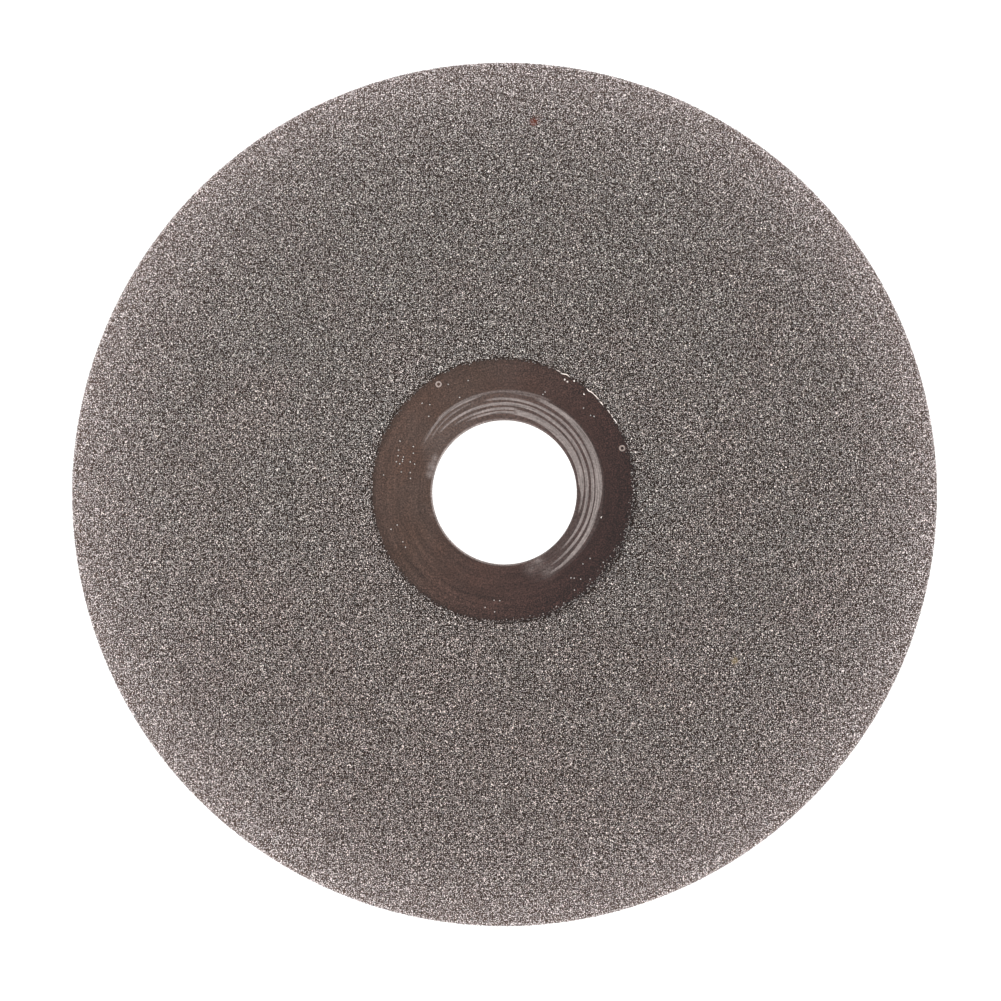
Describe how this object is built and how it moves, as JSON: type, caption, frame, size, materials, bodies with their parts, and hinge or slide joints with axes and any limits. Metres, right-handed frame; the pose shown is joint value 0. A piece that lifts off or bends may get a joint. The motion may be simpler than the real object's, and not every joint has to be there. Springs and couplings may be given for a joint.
{
  "type": "diamond flat lap wheel",
  "caption": "Thin round steel plate with one face of nickel-bonded diamond grit, a bare masked zone round the centre and a plain arbor bore.",
  "frame": {"origin": "on the arbor axis, in the plate's flat back face", "axes": "+Z along the arbor axis, out of the diamond face; the wheel lies on its back face at z = 0"},
  "size_m": [0.1524, 0.1524, 0.0015],
  "materials": {
    "steel": "satin",
    "nickel": "satin",
    "diamond": "gloss"
  },
  "bodies": {
    "root": {"steel_core": "steel", "nickel_bond": "nickel", "diamond_grit": "diamond", "stray_diamonds": "diamond", "nickel_spots": "nickel"}
  },
  "joints": []
}
